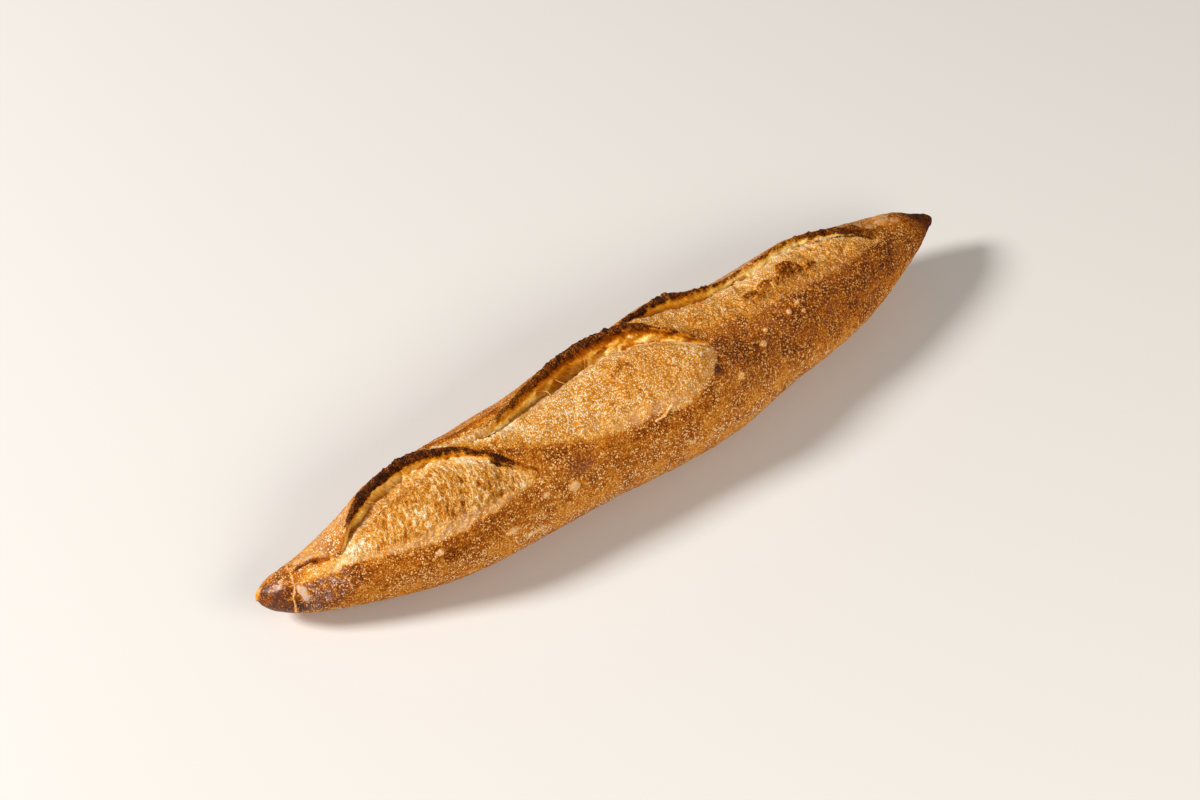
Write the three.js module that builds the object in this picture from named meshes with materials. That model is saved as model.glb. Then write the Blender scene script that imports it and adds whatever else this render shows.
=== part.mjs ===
// A short baguette: one piece of baked dough, slashed three times before it went into the oven.
// Each slash has torn open into a rough swelling (the bloom) under a lifted flap of crust (the ear).
// Units are millimetres. +X runs to the pointed end, -Y is the near side and +Z is up. The loaf lies on z = 0.

import * as THREE from "three";

// Driving dimensions of the dough
const LENGTH = 320; // tip to tip
const WIDTH = 59; // of the crust, without the ears, where its girth is 1
const CROWN = 24; // rise of the crust over the widest line of the section
const BELLY = 25; // drop below that line, before the table flattens it
const BOW = 8.5; // how far the middle bends to the near side
const BLUNT_NOSE = 9; // length of the rounded cap at the left end
const SHARP_NOSE = 3; // and at the right end
const UNEVENNESS = 0.5; // height of the lumps in the crust
const LUMP_LENGTHS = { long: 41, middle: 17, short: 9.5 }; // how far the lumps are drawn out along the loaf

// Driving dimensions of a slash
const EAR_THICKNESS = 1.8; // at the lip
const EAR_ROOT = 9; // how far behind the lip the flap starts to rise
const UNDERCUT = 2.5; // how far the groove runs back under the ear
const OVERHANG = 1.5; // how far the lip leans out over the groove
const GROOVE_SHARE = 0.32; // part of the torn strip that slopes down into the groove
const BLOOM_LEAN = 0.7; // below 1 the bloom is fullest in the back half of the torn strip
const BLOOM_OPENING = 0.5; // opening from which the bloom has its full rise
const RAGGEDNESS = 0.12; // share by which an ear's height varies along its lip
const CRAG_HEIGHT = 0.4; // of the torn surface of a bloom
const CRAG_LENGTHS = { long: 11, middle: 4.3, short: 2.6 };
const SLIT_STEP = 1.1; // spacing of the section's points across a slit

// A nick near the blunt end, where the dough has split a little without a slash
const NICK = { share: 0.063, angle: 88, length: 14, width: 6, depth: 1.4, lip: 1.1, lipWidth: 1.6 };

// How finely the surface is divided
const STATIONS = 96;
const END_CROWDING = 0.45; // share of the stations' spacing that follows a cosine, closer at the tips
const FIRST_STATION = 0.0015; // share of the length
const EVEN_TIP = 14; // distance from a tip over which the section's points take up their places
const SECTION_STEPS = { back: 12, gap: 9, front: 19 }; // points between one slit, or the base, and the next

const RIGHT_ANGLE = Math.PI / 2;
const radians = THREE.MathUtils.degToRad;

// A smooth curve through a few [position, value] pairs, level beyond its ends.
function curve(pairs) {
  const fit = new THREE.CubicInterpolant(
    pairs.map((pair) => pair[0]),
    pairs.map((pair) => pair[1]),
    1,
  );
  return (position) => fit.evaluate(position)[0];
}

// Shape of the dough along its length, by share of the length from the left tip
const girth = curve([
  [0, 0.21],
  [0.05, 0.38],
  [0.12, 0.62],
  [0.2, 0.86],
  [0.31, 0.94],
  [0.44, 0.96],
  [0.57, 1.08],
  [0.69, 0.91],
  [0.78, 0.85],
  [0.86, 0.69],
  [0.93, 0.46],
  [0.965, 0.31],
  [1, 0.05],
]);
const axisHeight = curve([
  [0, 12],
  [0.2, 20],
  [0.5, 21],
  [0.85, 21],
  [1, 22],
]);
const axisBend = curve([
  [0, -0.5],
  [0.05, 0.2],
  [0.12, 0.62],
  [0.29, 1.02],
  [0.6, 0.96],
  [0.84, 0.42],
  [1, 0],
]);

// The slashes, from the left end. Angles in degrees go round the section: 0 at the back, 90 on top, 180 near.
// The ear runs along one edge of the tear, and the front is where the bloom meets the near crust.
const SLASHES = [
  {
    from: 0.085,
    to: 0.335,
    ear: curve([
      [0, 106],
      [0.12, 82],
      [0.27, 64],
      [0.45, 66],
      [0.7, 86],
      [1, 130],
    ]),
    front: curve([
      [0, 118],
      [0.25, 137],
      [0.63, 142],
      [1, 134],
    ]),
    opening: curve([
      [0, 0],
      [0.1, 0.7],
      [0.25, 1],
      [0.45, 0.8],
      [0.7, 0.4],
      [1, 0],
    ]),
    earLift: 6,
    grooveDepth: 6,
    bloomRise: 2.4,
  },
  {
    from: 0.265,
    to: 0.605,
    ear: curve([
      [0, 77],
      [0.17, 76],
      [0.4, 61],
      [0.6, 55],
      [0.78, 69],
      [0.9, 92],
      [1, 110],
    ]),
    front: curve([
      [0, 86],
      [0.23, 109],
      [0.45, 129],
      [0.7, 137],
      [0.88, 136],
      [1, 118],
    ]),
    opening: curve([
      [0, 0],
      [0.15, 0.4],
      [0.35, 0.8],
      [0.5, 1],
      [0.75, 0.9],
      [0.9, 0.55],
      [1, 0],
    ]),
    earLift: 6,
    grooveDepth: 6.5,
    bloomRise: 3,
  },
  {
    from: 0.525,
    to: 0.915,
    ear: curve([
      [0, 60],
      [0.18, 59],
      [0.3, 68],
      [0.58, 70],
      [0.77, 66],
      [0.88, 79],
      [1, 103],
    ]),
    front: curve([
      [0, 72],
      [0.2, 95],
      [0.36, 105],
      [0.63, 118],
      [0.9, 126],
      [1, 118],
    ]),
    opening: curve([
      [0, 0],
      [0.1, 0.7],
      [0.25, 0.9],
      [0.4, 0.6],
      [0.75, 0.6],
      [0.9, 0.45],
      [1, 0],
    ]),
    earLift: 5.5,
    grooveDepth: 5,
    bloomRise: 2,
  },
];
const LEAST_GAP = radians(11); // kept between the lines of neighbouring slashes

// Where a slash's ear and front lie at one station, and how far it has torn open there.
function slashAt(slash, share) {
  const along = THREE.MathUtils.clamp((share - slash.from) / (slash.to - slash.from), 0, 1);
  return {
    ...slash,
    ear: radians(slash.ear(along)),
    front: radians(slash.front(along)),
    opening: Math.max(0, slash.opening(along)),
  };
}

// The three slashes at one station. Each lies behind the one to its left, also where it has not begun.
function slashesAt(share) {
  const lines = SLASHES.map((slash) => slashAt(slash, share));
  for (let i = 1; i < lines.length; i++)
    lines[i].ear = Math.min(lines[i].ear, lines[i - 1].ear - LEAST_GAP);
  return lines;
}

// Roundness of a tip: 0 at the very end, 1 from the cap's length onwards.
function cap(distance, length) {
  const left = Math.max(0, 1 - distance / length);
  return Math.sqrt(1 - left * left);
}

// The section's size and place at a share of the length.
function sectionAt(share) {
  const distance = share * LENGTH;
  const size = girth(share) * cap(distance, BLUNT_NOSE) * cap(LENGTH - distance, SHARP_NOSE);
  return {
    x: distance - LENGTH / 2,
    centreY: -BOW * axisBend(share),
    centreZ: axisHeight(share),
    halfWidth: (WIDTH / 2) * size,
    crown: CROWN * size,
    belly: BELLY * size,
    size,
  };
}

// Gentle lumps, so that no two stretches of crust are alike.
function lump(x, angle) {
  const { long, middle, short } = LUMP_LENGTHS;
  return (
    Math.sin(x / middle + 2 * angle) * Math.cos(x / long - angle) +
    0.6 * Math.sin(x / short - 3 * angle + 1)
  );
}

// Crags of a torn surface, bent out of line so that they don't repeat.
// Along a single angle they give the uneven height of a torn lip.
function crag(x, angle) {
  const { long, middle, short } = CRAG_LENGTHS;
  const bend = Math.sin(x / long + 3 * angle);
  return 0.6 * Math.sin(x / middle - 5 * angle + 2 * bend) + 0.4 * Math.sin(x / short + 8 * angle - 3 * bend);
}

// How far the nick lifts or sinks a point of the crust: a small lip at its back edge, and a hollow before it.
function nick(x, angle, radius) {
  const along = (x + LENGTH / 2 - NICK.share * LENGTH) / (NICK.length / 2);
  const fade = Math.max(0, 1 - along * along);
  const across = (angle - radians(NICK.angle)) * radius;
  if (across < 0) return NICK.lip * fade * Math.exp(-((across / NICK.lipWidth) ** 2));
  return -NICK.depth * fade * Math.max(0, 1 - across / NICK.width) ** 2;
}

// The swell of a bloom across the tear: fullest near the groove, and running out level at its front.
function swelling(across) {
  return (1 - Math.cos(2 * Math.PI * across ** BLOOM_LEAN)) / 2;
}

// How a torn slash moves a point of the crust: out from the axis, and forward round the section.
function tear(slash, x, angle, radius) {
  const open = slash.opening;
  if (angle < slash.ear) {
    const behind = ((slash.ear - angle) * radius) / EAR_ROOT;
    const raised = open * Math.exp(-behind * behind);
    return { out: slash.earLift * raised, forward: OVERHANG * raised };
  }
  const across = Math.min(1, (angle - slash.ear) / (slash.front - slash.ear));
  const sunk = open * Math.max(0, 1 - across / GROOVE_SHARE) ** 2;
  const swollen = THREE.MathUtils.smoothstep(open, 0, BLOOM_OPENING) * swelling(across);
  return {
    out: (slash.bloomRise + CRAG_HEIGHT * crag(x, angle)) * swollen - slash.grooveDepth * sunk,
    forward: -UNDERCUT * sunk,
  };
}

// The four lines of a slit, from the ear's outer edge to the bottom of the groove.
// Each gives its step across the slit, and how far the tear moves it out and forward.
function slitLines(slash, x) {
  const edge = slash.earLift * (1 + RAGGEDNESS * crag(x, 0));
  const lip = edge - EAR_THICKNESS;
  const half = (lip - slash.grooveDepth) / 2;
  return [
    { step: -1.5, out: edge, forward: OVERHANG },
    { step: -0.5, out: lip, forward: OVERHANG },
    { step: 0.5, out: half, forward: -UNDERCUT * 0.6 },
    { step: 1.5, out: -slash.grooveDepth, forward: -UNDERCUT },
  ];
}

// Evenly spaced angles between two others, without the ends.
function between(start, end, count) {
  return Array.from({ length: count }, (_, i) => start + ((end - start) * (i + 1)) / (count + 1));
}

// The points round one section, as angles, each with the slit that it belongs to if any.
function sectionRows(lines, x, radius) {
  const rows = [{ angle: -RIGHT_ANGLE }];
  const step = Math.min(SLIT_STEP / radius, LEAST_GAP / 4);
  const backToFront = [...lines].reverse();
  let reached = -RIGHT_ANGLE;
  backToFront.forEach((slash, i) => {
    const count = i === 0 ? SECTION_STEPS.back : SECTION_STEPS.gap;
    const slit = slitLines(slash, x).map((line) => ({ angle: slash.ear + line.step * step, slash, line }));
    rows.push(...between(reached, slit[0].angle, count).map((angle) => ({ angle })), ...slit);
    reached = slit.at(-1).angle;
  });
  rows.push(...between(reached, 3 * RIGHT_ANGLE, SECTION_STEPS.front).map((angle) => ({ angle })));
  return rows;
}

// At the tips the points stand evenly round the section, whatever the slashes need further in.
function evenedRows(rows, share) {
  const distance = Math.min(share, 1 - share) * LENGTH;
  const settled = THREE.MathUtils.smoothstep(distance, 0, EVEN_TIP);
  return rows.map((row, i) => {
    const even = (4 * RIGHT_ANGLE * i) / rows.length - RIGHT_ANGLE;
    return { ...row, angle: THREE.MathUtils.lerp(even, row.angle, settled) };
  });
}

// One ring of points of the loaf.
function ring(share) {
  const section = sectionAt(share);
  const radius = Math.max(1, (section.halfWidth + section.crown) / 2);
  const lines = slashesAt(share);
  return evenedRows(sectionRows(lines, section.x, radius), share).map(({ angle, slash: own, line }) => {
    const cos = Math.cos(angle);
    const sin = Math.sin(angle);
    let out = UNEVENNESS * section.size * lump(section.x, angle) + nick(section.x, angle, radius);
    let forward = 0;
    for (const slash of lines) {
      const moved =
        slash === own
          ? { out: line.out * slash.opening, forward: line.forward * slash.opening }
          : tear(slash, section.x, angle, radius);
      out += moved.out * section.size;
      forward += moved.forward * section.size;
    }
    const y = section.centreY + (section.halfWidth + out) * cos - forward * sin;
    const z = section.centreZ + ((sin > 0 ? section.crown : section.belly) + out) * sin + forward * cos;
    return new THREE.Vector3(section.x, y, Math.max(0, z));
  });
}

// The stations lie closer together towards the tips.
function stationShare(i) {
  const even = i / (STATIONS - 1);
  const crowded = (1 - Math.cos(Math.PI * even)) / 2;
  const share = THREE.MathUtils.lerp(even, crowded, END_CROWDING);
  return THREE.MathUtils.lerp(FIRST_STATION, 1 - FIRST_STATION, share);
}

// A point on the axis, for the tips.
function axisPoint(share) {
  const section = sectionAt(share);
  return new THREE.Vector3(section.x, section.centreY, section.centreZ);
}

// Triangles over the rings, each four-sided gap split along its shorter diagonal, and a fan at either tip.
function skin(rings, leftTip, rightTip) {
  const count = rings[0].length;
  const points = [...rings.flat(), leftTip, rightTip];
  const at = (i, j) => i * count + (j % count);
  const left = points.length - 2;
  const right = points.length - 1;
  const triangles = [];
  for (let j = 0; j < count; j++) {
    for (let i = 0; i + 1 < rings.length; i++) {
      const [a, b, c, d] = [at(i, j), at(i, j + 1), at(i + 1, j + 1), at(i + 1, j)];
      if (points[a].distanceTo(points[c]) < points[b].distanceTo(points[d])) triangles.push(a, b, c, a, c, d);
      else triangles.push(a, b, d, b, c, d);
    }
    triangles.push(left, at(0, j + 1), at(0, j));
    triangles.push(right, at(rings.length - 1, j), at(rings.length - 1, j + 1));
  }
  const geometry = new THREE.BufferGeometry().setFromPoints(points);
  geometry.setIndex(triangles);
  geometry.computeVertexNormals();
  return geometry;
}

function loafGeometry() {
  const rings = Array.from({ length: STATIONS }, (_, i) => ring(stationShare(i)));
  const geometry = skin(rings, axisPoint(0), axisPoint(1));
  geometry.computeBoundingBox();
  const centre = geometry.boundingBox.getCenter(new THREE.Vector3());
  return geometry.translate(-centre.x, -centre.y, -geometry.boundingBox.min.z);
}

const crust = new THREE.MeshStandardMaterial({ color: 0xb8752e, roughness: 0.55, metalness: 0 });
const loaf = new THREE.Mesh(loafGeometry(), crust);
loaf.name = "loaf";

const baguette = new THREE.Group();
baguette.add(loaf);

export default baguette;
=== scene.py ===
"""The looks of a short baguette: its baked crust, torn slashes and charred ears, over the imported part."""

import bpy
import numpy as np
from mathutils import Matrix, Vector, noise


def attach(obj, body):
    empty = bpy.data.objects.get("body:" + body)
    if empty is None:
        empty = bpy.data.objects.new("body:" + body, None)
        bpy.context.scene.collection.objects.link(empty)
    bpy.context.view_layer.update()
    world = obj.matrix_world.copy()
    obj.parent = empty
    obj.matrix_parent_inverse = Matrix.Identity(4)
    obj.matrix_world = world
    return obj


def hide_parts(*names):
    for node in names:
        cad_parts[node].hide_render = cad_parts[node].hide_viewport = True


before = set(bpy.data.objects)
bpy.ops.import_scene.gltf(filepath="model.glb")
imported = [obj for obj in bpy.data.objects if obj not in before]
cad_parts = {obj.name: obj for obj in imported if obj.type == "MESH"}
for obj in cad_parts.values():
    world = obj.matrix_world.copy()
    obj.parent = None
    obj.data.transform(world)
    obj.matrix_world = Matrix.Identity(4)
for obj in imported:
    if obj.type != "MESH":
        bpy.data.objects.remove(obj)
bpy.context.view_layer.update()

# The loaf
# One piece of wheat dough, rolled to points, slashed three times and baked on the floor of a hot oven.
# Its shape is the part's own, made finer so that the crust can take blisters, crags and torn fibres.

MM = 0.001
LENGTH = 320.0  # tip to tip, in millimetres as all sizes of the loaf
WIDTH = 59.0  # of the crust where its girth is 1
CROWN = 24.0  # rise of the crust over the widest line of the section
BELLY = 25.0  # drop below that line
BOW = 8.5  # how far the middle bends to the near side
BLUNT_NOSE = 9.0  # length of the rounded cap at the left end
SHARP_NOSE = 3.0  # and at the right end
SAME_POINT = 0.001  # corners nearer than this are one point
MESH_STEP = 0.5  # spacing of the points of the crust while it is worked on
MOST_TRIANGLES = 190000  # of the finished loaf

bpy.ops.object.select_all(action="DESELECT")
loaf = bpy.data.objects.new("baked_loaf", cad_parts["loaf"].data.copy())
bpy.context.scene.collection.objects.link(loaf)
bpy.context.view_layer.objects.active = loaf
loaf.select_set(True)
loaf.data.materials.clear()
bpy.ops.object.mode_set(mode="EDIT")
bpy.ops.mesh.select_all(action="SELECT")
bpy.ops.mesh.remove_doubles(threshold=SAME_POINT * MM)
bpy.ops.mesh.tris_convert_to_quads()
bpy.ops.object.mode_set(mode="OBJECT")


def work_over(piece, kind, **settings):
    """Runs a modifier over the active piece and keeps its result."""
    modifier = piece.modifiers.new(kind.lower(), kind)
    for name, value in settings.items():
        setattr(modifier, name, value)
    bpy.ops.object.modifier_apply(modifier=modifier.name)


work_over(loaf, "SUBSURF", levels=2, render_levels=2)
work_over(loaf, "REMESH", mode="VOXEL", voxel_size=MESH_STEP * MM)
work_over(loaf, "SMOOTH", factor=0.5, iterations=3)


def read_vectors(collection, field):
    """A mesh's vectors, such as its points or normals, as rows of numbers."""
    rows = np.empty(len(collection) * 3, np.float32)
    collection.foreach_get(field, rows)
    return rows.reshape(-1, 3).astype(float)


points = read_vectors(loaf.data.vertices, "co") / MM
normals = read_vectors(loaf.data.vertex_normals, "vector")
nothing = np.zeros(len(points))


def curve(*pairs):
    """A smooth curve through a few (position, value) pairs, level beyond its ends."""
    at, value = np.array(pairs, float).T
    slope = np.diff(value) / np.diff(at)
    lean = np.concatenate([slope[:1], (slope[:-1] + slope[1:]) / 2, slope[-1:]])

    def read(position):
        position = np.clip(position, at[0], at[-1])
        i = np.clip(np.searchsorted(at, position, side="right") - 1, 0, len(at) - 2)
        gap = at[i + 1] - at[i]
        t = (position - at[i]) / gap
        bend = t * t * (3 - 2 * t)
        start, end = t * (1 - t) ** 2, t * t * (t - 1)
        return value[i] + (value[i + 1] - value[i]) * bend + gap * (lean[i] * start + lean[i + 1] * end)

    return read


def ease(value, low, high):
    """0 at low, 1 at high, and smooth between. It falls where high is the lower one."""
    t = np.clip((value - low) / (high - low), 0, 1)
    return t * t * (3 - 2 * t)


def bell(value, middle, width):
    """1 at the middle, fading to either side."""
    return np.exp(-(((value - middle) / width) ** 2))


SEED_STEP = 19.7  # how far apart the patterns of two seeds lie
FALL_OFF = 1.0  # how fast the finer octaves of a pattern weaken
FINER = 2.0  # how much finer each octave is than the last
RIDGE_OFFSET = 1.0
RIDGE_GAIN = 1.6


def rough(length, seed, octaves=2):
    """Uneven values of about -1 to 1 over the loaf, in lumps of that length."""
    places = (points / length + SEED_STEP * seed).tolist()
    return np.array([noise.fractal(place, FALL_OFF, FINER, octaves) for place in places])


def ridged(length, seed, octaves=2, where=points):
    """Values of about 0 to 1 that peak along thin wandering lines."""
    places = (where / length + SEED_STEP * seed).tolist()
    settings = (FALL_OFF, FINER, octaves, RIDGE_OFFSET, RIDGE_GAIN)
    return np.array([noise.ridged_multi_fractal(place, *settings) for place in places]) / RIDGE_GAIN


# Place of each point: its share of the length, its angle round the section, and its height over the plain
# dough. Angles in degrees are 0 at the back, 90 on top, 180 on the near side and 270 below.
girth = curve(
    (0, 0.21), (0.05, 0.38), (0.12, 0.62), (0.2, 0.86), (0.31, 0.94), (0.44, 0.96), (0.57, 1.08),
    (0.69, 0.91), (0.78, 0.85), (0.86, 0.69), (0.93, 0.46), (0.965, 0.31), (1, 0.05),
)
axis_height = curve((0, 12), (0.2, 20), (0.5, 21), (0.85, 21), (1, 22))
axis_bend = curve((0, -0.5), (0.05, 0.2), (0.12, 0.62), (0.29, 1.02), (0.6, 0.96), (0.84, 0.42), (1, 0))


def cap(distance, length):
    """Roundness of a tip: nearly 0 at the very end, 1 from the cap's length onwards."""
    return np.sqrt(np.clip(1 - np.maximum(0, 1 - distance / length) ** 2, 0.01, 1))


tip_y = points[points[:, 0].argmax(), 1]
distance = np.clip(points[:, 0] + LENGTH / 2, 0, LENGTH)
share = distance / LENGTH
size = girth(share) * cap(distance, BLUNT_NOSE) * cap(LENGTH - distance, SHARP_NOSE)
radius = np.maximum(1, (WIDTH / 2 + CROWN) / 2 * size)
back_y = points[:, 1] - tip_y + BOW * axis_bend(share)
up_z = points[:, 2] - axis_height(share)
rise = np.where(up_z > 0, CROWN, BELLY) * size
half_width = WIDTH / 2 * size
turn = np.arctan2(up_z / rise, back_y / half_width)
angle = np.degrees(turn) % 360
height = np.hypot(back_y, up_z) - np.hypot(half_width * np.cos(turn), rise * np.sin(turn))
facing = normals[:, 2] * np.cos(turn) - normals[:, 1] * np.sin(turn)

# The slashes, from the left. Start and end are shares of the loaf's length, and each curve runs along its
# slash from 0 to 1. Ear and front are the angles of the ear's line and of the bloom's far edge. Opening is
# how far the slash has torn open, lift how high the ear stands where that is 1, and rag how uneven its lip.
# Scorch is the width of the char on the lip, dark its strength, and wrap its reach behind the ear's line.
# Its heat browns the wall below as far as reach says, and the rest of the wall is set to inner: partly its
# bake and partly painted light and shade, paler where light glows through the thin ear and darker where the
# lip shades it.
# Cream is how much pale crumb the slit shows. Skin is the thin skin along the front, and fray, brown and soft
# are how ragged, browned and soft the front is. Pull is how many degrees the ear is drawn back, fill how far
# crumb is raised in the groove, and sink how much lower the bloom is beside it.
# A pocket of the wall is (share, drop below the lip, half length, half height, bake). A strand is (share and
# drop of its end on the wall, share and distance from the ear's line of its end on the bloom).
NOT_THERE = curve((0, 0), (1, 0))
SLASHES = [
    dict(
        start=0.085,
        end=0.335,
        ear=curve((0, 106), (0.12, 82), (0.27, 64), (0.45, 66), (0.7, 86), (1, 130)),
        front=curve((0, 118), (0.25, 137), (0.63, 142), (1, 134)),
        opening=curve((0, 0), (0.1, 0.7), (0.25, 1), (0.45, 0.8), (0.7, 0.4), (1, 0)),
        lift=6.0,
        rag=1.0,
        scorch=curve(
            (0, -1.5), (0.08, -1.0), (0.16, 1.2), (0.3, 3.2), (0.4, 3.0), (0.5, 2.2), (0.7, 1.5), (1, 0.8)
        ),
        dark=curve((0, 0.2), (0.1, 0.5), (0.2, 1), (0.6, 1), (0.9, 0.8), (1, 0.3)),
        wrap=curve((0, 0.5), (0.12, 1.5), (0.2, 2.6), (0.35, 2.6), (0.5, 1.0), (1, 0.6)),
        reach=1.0,
        inner=curve((0, 0.24), (0.15, 0.15), (0.4, 0.13), (0.55, 0.2), (0.75, 0.3), (1, 0.34)),
        cream=curve((0, 0.6), (0.15, 0.2), (0.42, 0.2), (0.55, 0.5), (0.75, 0.7), (1, 0.3)),
        skin=curve((0, 0.3), (0.3, 0.8), (0.7, 0.9), (0.9, 0)),
        fray=0.04,
        brown=0.05,
        soft=curve((0, 0.03), (0.3, 0.05), (1, 0.05)),
        pull=curve((0, 0), (0.3, 0), (0.55, 5), (0.8, 5), (1, 0)),
        fill=curve((0, 0), (0.4, 0), (0.55, 0.8), (1, 0.3)),
        sink=curve((0, 0), (0.1, 0.2), (0.2, 1.4), (0.3, 2.0), (0.5, 1.4), (0.7, 0.3), (1, 0)),
        pockets=[
            (0.117, 5.5, 5.0, 2.0, 0.2),
            (0.166, 6.2, 5.5, 2.4, 0.16),
            (0.192, 5.5, 2.8, 1.7, 0.12),
            (0.222, 4.2, 3.0, 1.2, 0.16),
            (0.262, 3.6, 6.0, 1.0, 0.16),
        ],
        strands=[
            (0.150, 4.0, 0.160, 5.0),
            (0.153, 6.0, 0.161, 4.6),
            (0.178, 4.0, 0.190, 4.8),
            (0.203, 3.4, 0.208, 5.0),
        ],
    ),
    dict(
        start=0.265,
        end=0.605,
        ear=curve((0, 77), (0.17, 76), (0.4, 61), (0.6, 55), (0.78, 69), (0.9, 92), (1, 110)),
        front=curve((0, 86), (0.23, 109), (0.45, 129), (0.7, 137), (0.88, 136), (1, 118)),
        opening=curve((0, 0), (0.15, 0.4), (0.35, 0.8), (0.5, 1), (0.75, 0.9), (0.9, 0.55), (1, 0)),
        lift=6.0,
        rag=0.4,
        scorch=curve(
            (0, -1.5), (0.08, -0.8), (0.2, 0.9), (0.4, 1.8), (0.6, 2.0), (0.75, 1.5), (0.9, 1.2), (1, 0.8)
        ),
        dark=curve((0, 0.3), (0.2, 0.4), (0.38, 0.75), (0.6, 0.85), (0.9, 0.8), (1, 0.3)),
        wrap=curve((0, 0.5), (0.35, 1.0), (0.6, 1.3), (0.75, 0.9), (1, 0.5)),
        reach=1.0,
        inner=curve((0, 0.24), (0.3, 0.32), (0.55, 0.4), (0.7, 0.5), (1, 0.46)),
        cream=curve((0, 0.4), (0.15, 1), (0.35, 0.9), (0.5, 0.5), (0.66, 0.9), (0.9, 0.8), (1, 0.4)),
        skin=curve((0, 0), (0.4, 0.1), (0.55, 0.6), (0.8, 0.5), (1, 0.2)),
        fray=0.05,
        brown=0.05,
        soft=curve((0, 0.12), (0.5, 0.09), (0.72, 0.04), (1, 0.03)),
        pull=NOT_THERE,
        fill=curve((0, 0), (0.5, 0), (0.7, 0.5), (1, 0.3)),
        sink=curve((0, 0), (0.2, 0.8), (0.5, 1.6), (0.7, 0.8), (1, 0)),
        pockets=[
            (0.444, 6.5, 6.0, 2.0, 0.36),
            (0.462, 7.5, 3.0, 1.5, 0.2),
            (0.405, 6.0, 4.0, 1.4, 0.34),
            (0.497, 7.0, 2.2, 0.9, 0.4),
        ],
        strands=[
            (0.398, 6.0, 0.404, 4.4),
            (0.414, 5.6, 0.405, 4.8),
            (0.428, 5.0, 0.434, 5.0),
            (0.474, 5.0, 0.458, 4.6),
            (0.548, 4.5, 0.541, 4.6),
        ],
    ),
    dict(
        start=0.525,
        end=0.915,
        ear=curve((0, 60), (0.18, 59), (0.3, 68), (0.58, 70), (0.77, 66), (0.88, 79), (1, 103)),
        front=curve((0, 72), (0.2, 95), (0.34, 104), (0.5, 109), (0.8, 114), (0.95, 110), (1, 106)),
        opening=curve((0, 0), (0.1, 0.7), (0.25, 0.9), (0.4, 0.6), (0.75, 0.6), (0.9, 0.45), (1, 0)),
        lift=5.5,
        rag=0.9,
        scorch=curve(
            (0, 0.5), (0.1, 1.5), (0.25, 1.8), (0.38, 0.9), (0.6, 0.7), (0.75, 1.2), (0.85, 2.0), (1, 0.6)
        ),
        dark=curve(
            (0, 0.5), (0.1, 1), (0.27, 0.9), (0.38, 0.5), (0.7, 0.4), (0.8, 0.85), (0.9, 0.7), (1, 0.2)
        ),
        wrap=curve((0, 0.5), (0.2, 1.5), (0.4, 0.5), (0.7, 0.6), (0.8, 3.0), (0.88, 2.0), (1, 0.5)),
        reach=0.5,
        inner=curve((0, 0.34), (0.3, 0.3), (0.42, 0.12), (0.8, 0.1), (1, 0.2)),
        cream=curve((0, 0), (0.3, 0.2), (0.42, 0.7), (0.6, 0.5), (0.8, 0.7), (1, 0.4)),
        skin=NOT_THERE,
        fray=0.09,
        brown=0.08,
        soft=curve((0, 0.06), (1, 0.06)),
        pull=curve((0, 0), (0.25, 0), (0.4, 6), (0.75, 6), (0.9, 3), (1, 0)),
        fill=curve((0, 0), (0.25, 0.2), (0.38, 0.9), (0.6, 1.2), (0.75, 1.1), (0.9, 0.8), (1, 0)),
        sink=NOT_THERE,
        pockets=[
            (0.706, 4.0, 4.0, 1.5, 0.1),
            (0.8, 4.5, 4.0, 1.6, 0.12),
            (0.824, 4.0, 2.5, 1.4, 0.3),
        ],
        strands=[
            (0.690, 2.4, 0.697, 4.8),
            (0.790, 2.2, 0.797, 4.8),
            (0.806, 2.0, 0.800, 5.2),
            (0.818, 2.0, 0.826, 5.2),
            (0.835, 1.8, 0.829, 5.0),
        ],
    ),
]
LEAST_GAP = 11  # degrees kept between the lines of neighbouring ears
SLIT_BACK = -2.8  # where the slit begins behind the ear's line
SLIT_FRONT = 4.0  # and ends in front of it
CHAR_FRONT = 3.6  # where the char ends in front of it
FAR_BELOW = 20.0  # stands for no char above a place
NO_CHAR = -9.0  # depth of char where there is none
UNBEGUN = 6.0  # taken off the depth of char where the slash hasn't begun
ELSEWHERE = 50  # added to distances off the wall or bloom, to keep the end of a strand on it

# Uneven patterns that the whole loaf shares, in lumps of about 2 to 7 mm, and streaks down the walls.
coarse = rough(5.0, 1)
crumble = rough(2.2, 2, 3)
lumps = rough(7.0, 3)
pebbles = rough(1.7, 6)
leaning = np.column_stack([points[:, 0] + 0.7 * height, 0.22 * height, 0.22 * points[:, 1]])
streaks = ridged(1.7, 4, 2, leaning)

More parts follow.
